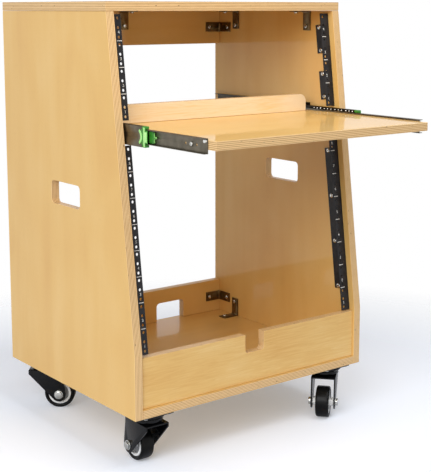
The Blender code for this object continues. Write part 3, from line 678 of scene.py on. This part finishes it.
def make_board(node, body, thick, grain, settings, veneer, edge):
    """One board: its solid with sanded edges, and its grain and plies laid out in metres."""
    made = eased_copy(node, settings.ease)
    low = min(vertex.co[thick] for vertex in made.data.vertices)
    cross = 3 - thick - grain
    layer = made.data.uv_layers.new(name="grain")
    made.data.uv_layers.active = layer
    # Each board takes its own stretch of a sheet three metres long, told by its name
    shift = sum(ord(letter) for letter in node) * 0.137 % 3.0
    axis = Vector([1.0 if i == thick else 0.0 for i in range(3)])
    for face in made.data.polygons:
        flat = abs(face.normal[thick]) > 0.9
        face.material_index = 0 if flat else 1
        along = axis.cross(face.normal)
        for loop in face.loop_indices:
            point = made.data.vertices[made.data.loops[loop].vertex_index].co
            if flat:
                layer.data[loop].uv = (point[cross] + shift, point[grain] + shift)
            else:
                layer.data[loop].uv = (point.dot(along) + shift, point[thick] - low)
    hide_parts(node)
    keep(made, node + "_dressed", body, "birch_plywood", veneer, edge)
    apply_change(made, "WEIGHTED_NORMAL", keep_sharp=True)
    return made


class RACK_OT_make_boards(bpy.types.Operator):
    """Dress the plywood boards with veneer faces and ply edges"""

    bl_idname = "rack.make_boards"
    bl_label = "Boards"

    def execute(self, context):
        settings = context.scene.rack_boards
        tones = (settings.dark, settings.middle, settings.light)
        # The stop board's veneer takes lighter tones: painted light for the brighter light on its
        # front
        lit_stop_board_tones = (settings.light, settings.pale, settings.pale)
        soft, lined = (0.055, 0.500, 2.0, 0.5), (0.0060, 0.110, 2.0, 2.2)
        even = lacquered_birch_veneer("rotary_cut_birch_veneer", settings, tones, soft, 1.4)
        crown = lacquered_birch_veneer("crown_cut_birch_veneer", settings, tones, lined, 0.8)
        lit_stop_board_veneer = lacquered_birch_veneer("fresh_birch_veneer", settings, lit_stop_board_tones, lined, 1.0)
        edge = birch_ply_edge(settings)
        for node, (body, thick, grain) in BOARDS.items():
            veneer = {"front_fascia": crown, "shelf_stop_board": lit_stop_board_veneer}.get(node, even)
            make_board(node, body, thick, grain, settings, veneer, edge)
        return {"FINISHED"}


def on_rail(rail, side, along, x, proud):
    """A point on a rail's face, that far along it and that far out of it."""
    distance = RAILS[rail]["start"] + along
    point = KINK + UP_SLOPE * distance + OUT_OF_SLOPE * (proud - RAIL_SETBACK)
    return Vector((side * x, point.y, point.z))


def slope_frame(location):
    """The place of a thing drawn upright in X and Y that has to lie on the rail's face."""
    turn = Matrix(((1, 0, 0), UP_SLOPE, OUT_OF_SLOPE)).transposed().to_4x4()
    return Matrix.Translation(location) @ turn


def printed_number(text, height, place):
    """A printed number as a very thin raised mesh, in letters 1.4 times as large as a digit."""
    film = 0.00003
    deselect_everything()
    bpy.ops.object.text_add()
    word = bpy.context.active_object
    word.data.body = text
    word.data.align_x = "CENTER"
    word.data.align_y = "CENTER"
    word.data.size = height * 1.4
    word.data.extrude = film
    word.data.resolution_u = 3
    take_up(word)
    bpy.ops.object.convert(target="MESH")
    made = settle(bpy.context.active_object)
    made.data.transform(place)
    return made


class RACK_OT_make_rails(bpy.types.Operator):
    """Coat the rack rails, print their units and screw them to the sides"""

    bl_idname = "rack.make_rails"
    bl_label = "Rails"

    def execute(self, context):
        settings = context.scene.rack_rails
        coated = worked_surface("black_powder_coat", settings.coat)
        ink = worked_surface("screen_printed_ink", settings.ink)
        head = pan_head(settings.screw)
        for rail, facts in RAILS.items():
            for word, side in SIDES:
                finish_node(f"rack_rail_{rail}_{word}", coated)
                self.print_units(settings, rail, facts["units"], word, side, ink)
                self.add_screws(rail, facts["screws"], word, side, head)
        drop(head)
        return {"FINISHED"}

    def print_units(self, settings, rail, units, word, side, ink):
        """A number in each unit and a line between units, beside the holes."""
        marks = []
        for unit in range(units):
            spot = on_rail(rail, side, (unit + NUMBER_SHARE) * RACK_UNIT, HOLE_COLUMN, PRINT_PROUD)
            marks.append(printed_number(str(unit + 1), settings.digit_height, slope_frame(spot)))
        for unit in range(1, units):
            deselect_everything()
            bpy.ops.mesh.primitive_cube_add(size=1.0)
            line = bpy.context.active_object
            line.scale = (settings.line_length, settings.line_width, PRINT_PROUD * 1.5)
            settle(line)
            spot = on_rail(rail, side, unit * RACK_UNIT, HOLE_COLUMN, PRINT_PROUD)
            line.data.transform(slope_frame(spot))
            marks.append(line)
        name = f"unit_print_{rail}_{word}"
        keep(joined(marks), name, "cabinet", "rail_black_coat", ink, smooth=0)

    def add_screws(self, rail, places, word, side, head):
        """The screws that hold the rail's tabs to the side panel."""
        screws = []
        for unit in places:
            spot = on_rail(rail, side, unit * RACK_UNIT, TAB_SCREW_X, TAB_SCREW_PROUD)
            screws.append(placed_copy(head, facing((-side, 0, 0), spot, unit)))
        name = f"rail_screws_{rail}_{word}"
        keep(joined(screws), name, "cabinet", "axle_zinc", bright_zinc_steel())


def slide_depth(side, depth):
    """The x of a point that lies that deep in from a slide's back."""
    return side * (SLIDE_BACK - depth)


def flat_plate(outline, side, depth, thickness, ease):
    """A plate on a slide: an outline in Y and Z, filled, extruded inwards and eased."""
    deselect_everything()
    bpy.ops.mesh.primitive_circle_add(vertices=len(outline), radius=1.0, fill_type="NGON")
    made = bpy.context.active_object
    for vertex, (y, z) in zip(made.data.vertices, outline):
        vertex.co = (slide_depth(side, depth), y, z)
    edit_faces(made, lambda face: True)
    bpy.ops.mesh.extrude_region_move(TRANSFORM_OT_translate={"value": (-side * thickness, 0, 0)})
    bpy.ops.mesh.select_all(action="SELECT")
    bpy.ops.mesh.normals_make_consistent(inside=False)
    close_edit()
    return ease_edges(made, ease)


class RACK_OT_make_slides(bpy.types.Operator):
    """Finish the shelf's slides and add their balls, ribs, screws and latches"""

    bl_idname = "rack.make_slides"
    bl_label = "Slides"

    def execute(self, context):
        settings = context.scene.rack_slides
        zinc = worked_surface("zinc_plated_strip", settings.zinc)
        # Painted shade and reflection: a darker brown steel for the faces inside the channels
        shaded_track = worked_surface("greased_steel_track", hex_colour("#2E2820"))
        green = worked_surface("moulded_light_green_acetal", settings.green)
        deep = worked_surface("moulded_deep_green_acetal", settings.deep)
        nylon = worked_surface("white_nylon", hex_colour("#E4E4E0"))
        polished = worked_surface("polished_ball_steel", hex_colour("#E6E6E4"))
        # Painted shade: the cages' dark brown stands in for the shadow in the channels
        shaded_cage = worked_surface("dull_cage_steel", hex_colour("#3C352C"))
        head = pan_head(SHELF_SCREW_HEAD)
        for word, side in SIDES:
            self.dress_members(settings, word, side, zinc, shaded_track)
            for cage in ("outer", "inner"):
                finish_node(f"ball_cage_{cage}_{word}", shaded_cage)
                self.add_balls(settings, cage, word, side, polished)
            self.dress_bumper(word, deep)
            self.add_latch(word, side, green, deep)
            self.dress_lever(word, green, deep)
            self.add_shelf_screws(word, side, head, nylon)
        drop(head)
        return {"FINISHED"}

    def dress_members(self, settings, word, side, zinc, shaded_track):
        """The members with eased edges, a rib along the middle one and holes in the others."""
        for member, (body, holes) in SLIDE_MEMBERS.items():
            node = f"slide_{member}_{word}"
            low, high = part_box(node)
            z = (low.z + high.z) / 2
            made = merged_copy(node)
            if member == "middle":
                self.roll_rib(made, side, (high.z - low.z - settings.rib) / 2)
            spots = [(side * SLIDE_MIDDLE, low.y + y, z) for y in holes]
            bores = [disc(spot, (1, 0, 0), SLIDE_HOLE, length=0.03, steps=12) for spot in spots]
            carve(made, bores)
            ease_edges(made, width=0.00025)
            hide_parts(node)
            # Painted shade: faces that do not face the wall take the darker brown steel, except on
            # the inner member
            for face in made.data.polygons:
                face.material_index = 0 if face.normal.x * side > 0.5 or member == "inner" else 1
            keep(made, node + "_dressed", body.format(word), "slide_zinc", zinc, shaded_track)

    def roll_rib(self, item, side, margin):
        """A band along the web's outer face, pressed in by half a millimetre."""
        flank, pressed, near = 0.0012, 0.0005, 0.0001
        web = max(vertex.co.x * side for vertex in item.data.vertices) - near
        edit_faces(item, lambda face: face.normal.x * side > 0.9 and face.center.x * side > web)
        bpy.ops.mesh.inset(thickness=margin)
        bpy.ops.mesh.inset(thickness=flank, depth=-pressed)
        close_edit()

    def add_balls(self, settings, cage, word, side, polished):
        """Balls in groups of three along a cage, above and below."""
        node = f"ball_cage_{cage}_{word}"
        low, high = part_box(node)
        middle = (low.z + high.z) / 2
        rise = (high.z - low.z) / 2 - BALL_SINK
        deselect_everything()
        bpy.ops.mesh.primitive_ico_sphere_add(subdivisions=2, radius=BALL_RADIUS)
        ball = bpy.context.active_object
        edit_faces(ball, lambda face: True)
        bpy.ops.transform.tosphere(value=1.0)
        close_edit()
        room = (high.y - low.y) / settings.ball_groups
        balls = []
        for group in range(settings.ball_groups):
            for step in (-1, 0, 1):
                y = low.y + room * (group + 0.5) + step * settings.ball_pitch
                for way in (-1, 1):
                    spot = (slide_depth(side, BALL_DEPTH[cage]), y, middle + way * rise)
                    balls.append(placed_copy(ball, Matrix.Translation(spot)))
        drop(ball)
        keep(joined(balls), f"balls_{cage}_{word}", node, "cage_bright_steel", polished)

    def dress_bumper(self, word, deep):
        """The cap, its two shoulders cut back at the front so that only its web reaches ahead."""
        node = f"slide_bumper_{word}"
        low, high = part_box(node)
        middle = (low.z + high.z) / 2
        made = merged_copy(node)
        past = 0.001
        tools = []
        for way in (-1, 1):
            heights = sorted((middle + way * SHOULDER_RISE, middle + way * SHOULDER_TOP))
            corner = (low.x - past, low.y - past, heights[0])
            tools.append(block(corner, (high.x + past, low.y + SHOULDER_BACK, heights[1])))
        carve(made, tools)
        ease_edges(made, width=0.0004)
        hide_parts(node)
        # The cap takes the deep green: painted shade
        keep(made, node + "_dressed", f"slide_middle_{word}", "green_plastic", deep)

    def add_latch(self, word, side, green, deep):
        """The latch's raised parts on the outside of the cap, and its curved spring arm."""
        low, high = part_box(f"slide_bumper_{word}")
        z = (low.z + high.z) / 2
        turns = [math.radians(10 * step) for step in range(-6, 7)]
        arm = []
        for radius, bend in ((ARM_OUTER, turns), (ARM_INNER, reversed(turns))):
            for turn in bend:
                arm.append((ARM_CENTRE - radius * math.cos(turn), radius * math.sin(turn)))
        sunk, raised, thickness, ease = 0.0019, 0.0016, 0.0004, 0.0001
        plates = []
        # The latch's ground takes the deep green: painted shade
        for finish, depth, outline in (
            (deep, sunk, LATCH_GROUND),
            (green, raised, LATCH_SPINE),
            (green, raised, arm),
        ):
            points = [(low.y + a, z + b) for a, b in outline]
            plates.append(coat(flat_plate(points, side, depth, thickness, ease), finish))
        keep(joined(plates), f"slide_latch_{word}", f"slide_middle_{word}", "green_plastic")

    def dress_lever(self, word, green, deep):
        """The lever with moulded edges, its body a darker green than its tongue: painted shade."""
        node = f"release_lever_{word}"
        tongue_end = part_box(node)[0].y + TONGUE_LENGTH
        lever = eased_copy(node, width=0.0005, segments=3)
        for face in lever.data.polygons:
            face.material_index = 0 if face.center.y < tongue_end else 1
        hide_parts(node)
        keep(lever, f"lever_dressed_{word}", node, "green_plastic", green, deep)

    def add_shelf_screws(self, word, side, head, nylon):
        """The screws into the shelf's edge, and the white stop at the inner member's front end."""
        low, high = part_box(f"slide_inner_{word}")
        z = (low.z + high.z) / 2
        face = slide_depth(side, INNER_DEPTH)
        screws = []
        for y in SHELF_SCREWS:
            screws.append(placed_copy(head, facing((side, 0, 0), (face, low.y + y, z), y * 40)))
        keep(joined(screws), f"shelf_screws_{word}", "shelf", "axle_zinc", bright_zinc_steel())
        spot = (face + side * STOP_LENGTH / 2, low.y + STOP_BACK, z + STOP_RISE)
        stop = ease_edges(disc(spot, (1, 0, 0), STOP_RADIUS, STOP_LENGTH), width=0.0006)
        keep(stop, f"slide_end_stop_{word}", "shelf", "slide_zinc", nylon)


class RACK_OT_make_brackets(bpy.types.Operator):
    """Finish the angle brackets and screw them in"""

    bl_idname = "rack.make_brackets"
    bl_label = "Brackets"

    def execute(self, context):
        settings = context.scene.rack_brackets
        bronzed = worked_surface("bronze_finished_steel", settings.coat)
        head = pan_head(BRACKET_SCREW_HEAD)
        for node in [name for name in frame["nodes"] if name.startswith("bracket_")]:
            bracket = eased_copy(node, settings.ease)
            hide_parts(node)
            keep(bracket, node + "_dressed", "cabinet", "bracket_bronze_coat", bronzed)
            self.add_screws(node, head)
        drop(head)
        return {"FINISHED"}

    def add_screws(self, node, head):
        """One screw near the end of each leg, on the side that faces into the rack."""
        low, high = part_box(node)
        size = high - low
        width = min(range(3), key=lambda axis: abs(size[axis] - BRACKET_WIDTH))
        legs = [axis for axis in range(3) if axis != width]
        corner = []
        for axis in range(3):
            middle = (low[axis] + high[axis]) / 2
            near = low[axis] if middle < HEART[axis] else high[axis]
            corner.append(middle if axis == width else near)
        corner = Vector(corner)
        screws = []
        for leg, other in (legs, reversed(legs)):
            ahead, out = Vector(), Vector()
            ahead[leg] = 1.0 if (low[leg] + high[leg]) / 2 > corner[leg] else -1.0
            out[other] = 1.0 if (low[other] + high[other]) / 2 > corner[other] else -1.0
            spot = corner + ahead * BRACKET_SCREW + out * BRACKET_SHEET
            screws.append(placed_copy(head, facing(out, spot, 0.4 + leg)))
        keep(joined(screws), node + "_screws", "cabinet", "axle_zinc", bright_zinc_steel())


def ring(radius, bore, width, ease, steps):
    """A ring about Z: a cylinder whose end faces are inset, opened and bridged, then eased."""
    deselect_everything()
    bpy.ops.mesh.primitive_cylinder_add(vertices=steps, radius=radius, depth=width)
    made = bpy.context.active_object
    edit_faces(made, lambda face: abs(face.normal.z) > 0.9)
    bpy.ops.mesh.inset(thickness=radius - bore)
    bpy.ops.mesh.bridge_edge_loops()
    close_edit()
    edit_faces(made, lambda face: True)
    bpy.ops.mesh.remove_doubles(threshold=0.00001)
    bpy.ops.mesh.normals_make_consistent(inside=False)
    close_edit()
    limit = math.radians(40)
    apply_change(made, "BEVEL", width=ease, segments=4, limit_method="ANGLE", angle_limit=limit)
    return made


class RACK_OT_make_casters(bpy.types.Operator):
    """Finish the casters and add their wheels, nuts and plate screws"""

    bl_idname = "rack.make_casters"
    bl_label = "Casters"

    def execute(self, context):
        settings = context.scene.rack_casters
        enamel = worked_surface("gloss_black_enamel", settings.enamel)
        rubber = worked_surface("black_rubber", settings.rubber)
        light = worked_surface("light_nylon", settings.rim)
        grey = worked_surface("grey_nylon", settings.web)
        tyre = ring(*TYRE_RING, settings.steps)
        rim, axle = self.make_rim(settings, light, grey), self.make_axle()
        head = pan_head(PLATE_SCREW_HEAD)
        for corner, heading in CORNERS.items():
            prefix = "caster_" + corner
            swivel, wheel = prefix + "_swivel", prefix + "_wheel"
            low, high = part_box(prefix + "_tyre")
            hub = (low + high) / 2
            turn = Matrix.Rotation(math.radians(heading), 4, "Z")
            place = Matrix.Translation(hub) @ turn @ Matrix.Rotation(math.pi / 2, 4, "X")
            self.put(tyre, place, prefix + "_tyre", wheel, "tyre_rubber", rubber)
            self.put(rim, place, prefix + "_rim", wheel, "rim_grey_nylon")
            self.put(axle, place, prefix + "_axle", swivel, "axle_zinc", bright_zinc_steel())
            fork = eased_copy(prefix + "_fork", width=0.0006, limit=40.0)
            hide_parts(prefix + "_fork")
            keep(fork, prefix + "_fork_dressed", swivel, "caster_black_coat", enamel)
            finish_node(prefix + "_plate", enamel)
            self.add_plate_screws(prefix, head)
        drop(tyre, rim, axle, head)
        return {"FINISHED"}

    def put(self, item, place, node, body, slot, *materials):
        """One caster's own copy of a shared part, in place of its solid."""
        made = placed_copy(item, place)
        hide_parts(node)
        keep(made, node + "_dressed", body, slot, *materials)

    def make_rim(self, settings, light, grey):
        """A light outer ring, a set back grey web and a long light boss."""
        outer = coat(ring(*RIM_RING, settings.steps), light)
        web = coat(ring(*WEB_RING, settings.steps), grey)
        boss = coat(ring(*BOSS_RING, settings.steps // 2), light)
        return joined([outer, web, boss])

    def make_axle(self):
        """The axle bolt: a shank with a washer, a domed head and a six sided nut."""
        shank = disc((0, 0, 0), (0, 0, 1), SHANK_RADIUS, SHANK_LENGTH, steps=24)
        edit_faces(shank, lambda face: abs(face.normal.z) > 0.9)
        bpy.ops.mesh.bevel(offset=SHANK_EASE, segments=2)
        close_edit()
        parts = [shank]
        for way, sides in ((-1, 6), (1, 20)):
            washer = ring(*WASHER_RING, steps=24)
            washer.data.transform(Matrix.Translation((0, 0, way * WASHER_OUT)))
            end = disc((0, 0, way * END_OUT), (0, 0, 1), END_RADIUS, END_HEIGHT, sides)
            edit_faces(end, lambda face: face.normal.z * way > 0.9)
            bpy.ops.mesh.inset(thickness=DOME_INSET)
            bpy.ops.transform.translate(value=(0, 0, way * DOME_RISE))
            close_edit()
            parts += [washer, ease_edges(end, END_EASE)]
        return joined(parts)

    def add_plate_screws(self, prefix, head):
        """Four screws up through the plate into the bottom panel."""
        low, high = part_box(prefix + "_plate")
        middle = (low + high) / 2
        screws = []
        for x, y in PLATE_SCREWS:
            spot = (middle.x + x, middle.y + y, high.z - PLATE_SHEET)
            screws.append(placed_copy(head, facing((0, 0, -1), spot, x * 30)))
        keep(joined(screws), prefix + "_plate_screws", "cabinet", "axle_zinc", bright_zinc_steel())


class RACK_OT_make_stage(bpy.types.Operator):
    """Set the floor, the soft studio light and the camera"""

    bl_idname = "rack.make_stage"
    bl_label = "Stage"

    def execute(self, context):
        settings = context.scene.rack_stage
        self.make_floor(settings)
        self.make_surroundings(settings)
        self.make_softboxes(settings)
        self.make_camera(context)
        context.scene.view_settings.view_transform = "Standard"
        return {"FINISHED"}

    def make_floor(self, settings):
        """A matt pale floor that fades into the white 0.65 to 1.15 m from the rack's middle."""
        deselect_everything()
        bpy.ops.mesh.primitive_plane_add(size=12.0)
        floor = bpy.context.active_object
        floor.name = "floor"
        colour = tuple(settings.floor)
        made, tree, shader = new_material("pale_matt_floor", colour, {"Roughness": 0.9})
        place = add_node(tree, "ShaderNodeTexCoord").outputs["Object"]
        reach = add_node(tree, "ShaderNodeVectorMath", {0: place}, operation="LENGTH")
        # Only the camera sees this glow, which lifts the bare floor to white and keeps the shadow
        path = add_node(tree, "ShaderNodeLightPath")
        sockets = {0: path.outputs["Is Camera Ray"], 1: settings.lift}
        lift = add_node(tree, "ShaderNodeMath", sockets, operation="MULTIPLY")
        shader.inputs["Emission Color"].default_value = (1.0, 1.0, 1.0, 1.0)
        connect(tree, shader, {"Emission Strength": lift})
        sockets = {"Value": reach, "From Min": 0.65, "From Max": 1.15}
        fade = add_node(tree, "ShaderNodeMapRange", sockets)
        clear = add_node(tree, "ShaderNodeBsdfTransparent")
        mixed = add_node(tree, "ShaderNodeMixShader", {"Fac": fade, 1: shader, 2: clear})
        connect(tree, tree.nodes["Material Output"], {"Surface": mixed})
        floor.data.materials.append(made)

    def make_surroundings(self, settings):
        """White where the camera, gloss or glass sees them, and a plain level of light else."""
        world = bpy.data.worlds.new("white_surroundings")
        world.use_nodes = True
        bpy.context.scene.world = world
        tree = world.node_tree
        path = add_node(tree, "ShaderNodeLightPath")
        seen = path.outputs["Is Camera Ray"]
        for name in ("Is Glossy Ray", "Is Transmission Ray"):
            sockets = {0: seen, 1: path.outputs[name]}
            seen = add_node(tree, "ShaderNodeMath", sockets, operation="MAXIMUM")
        strength = add_node(tree, "ShaderNodeMapRange", {"Value": seen, "To Min": settings.fill})
        light = tree.nodes["Background"]
        light.inputs["Color"].default_value = (1.0, 1.0, 1.0, 1.0)
        connect(tree, light, {"Strength": strength})

    def make_softboxes(self, settings):
        """A large softbox at the left and one above the front, aimed at the rack's middle."""
        for name, (place, size, power) in SOFTBOXES.items():
            deselect_everything()
            bpy.ops.object.light_add(type="AREA", location=place)
            box = bpy.context.active_object
            box.name = name
            box.data.shape = "RECTANGLE"
            box.data.size, box.data.size_y = size
            box.data.energy = getattr(settings, power)
            aim = SOFTBOX_AIM - box.location
            box.rotation_euler = aim.to_track_quat("-Z", "Y").to_euler()

    def make_camera(self, context):
        deselect_everything()
        bpy.ops.object.camera_add(location=CAMERA_PLACE)
        camera = bpy.context.active_object
        turned, down = math.radians(CAMERA_ROUND), math.radians(CAMERA_DOWN)
        level = math.cos(down)
        look = Vector((math.sin(turned) * level, math.cos(turned) * level, -math.sin(down)))
        camera.rotation_euler = look.to_track_quat("-Z", "Y").to_euler()
        camera.data.sensor_width = 36.0
        camera.data.lens = camera.data.sensor_width * FOCAL_LENGTH / LONG_SIDE
        camera.data.shift_y = (MIDDLE_ROW - LONG_SIDE / 2) / LONG_SIDE
        context.scene.camera = camera


class RACK_PT_pieces(bpy.types.Panel):
    bl_label = "Studio rack"
    bl_idname = "RACK_PT_pieces"
    bl_space_type = "VIEW_3D"
    bl_region_type = "UI"
    bl_category = "Rack"

    def draw(self, context):
        for name, (maker, group) in MAKERS.items():
            box = self.layout.box()
            box.operator(maker.bl_idname)
            settings = getattr(context.scene, name)
            for key in group.__annotations__:
                box.prop(settings, key)


MAKERS = {
    "rack_boards": (RACK_OT_make_boards, RackBoardSettings),
    "rack_rails": (RACK_OT_make_rails, RackRailSettings),
    "rack_slides": (RACK_OT_make_slides, RackSlideSettings),
    "rack_brackets": (RACK_OT_make_brackets, RackBracketSettings),
    "rack_casters": (RACK_OT_make_casters, RackCasterSettings),
    "rack_stage": (RACK_OT_make_stage, RackStageSettings),
}


def register():
    for name, (maker, group) in MAKERS.items():
        bpy.utils.register_class(group)
        setattr(bpy.types.Scene, name, PointerProperty(type=group))
        bpy.utils.register_class(maker)
    bpy.utils.register_class(RACK_PT_pieces)


def unregister():
    bpy.utils.unregister_class(RACK_PT_pieces)
    for name, (maker, group) in MAKERS.items():
        bpy.utils.unregister_class(maker)
        delattr(bpy.types.Scene, name)
        bpy.utils.unregister_class(group)


def main():
    register()
    bpy.ops.rack.make_boards()
    bpy.ops.rack.make_rails()
    bpy.ops.rack.make_slides()
    bpy.ops.rack.make_brackets()
    bpy.ops.rack.make_casters()
    bpy.ops.rack.make_stage()


if __name__ == "__main__":
    main()
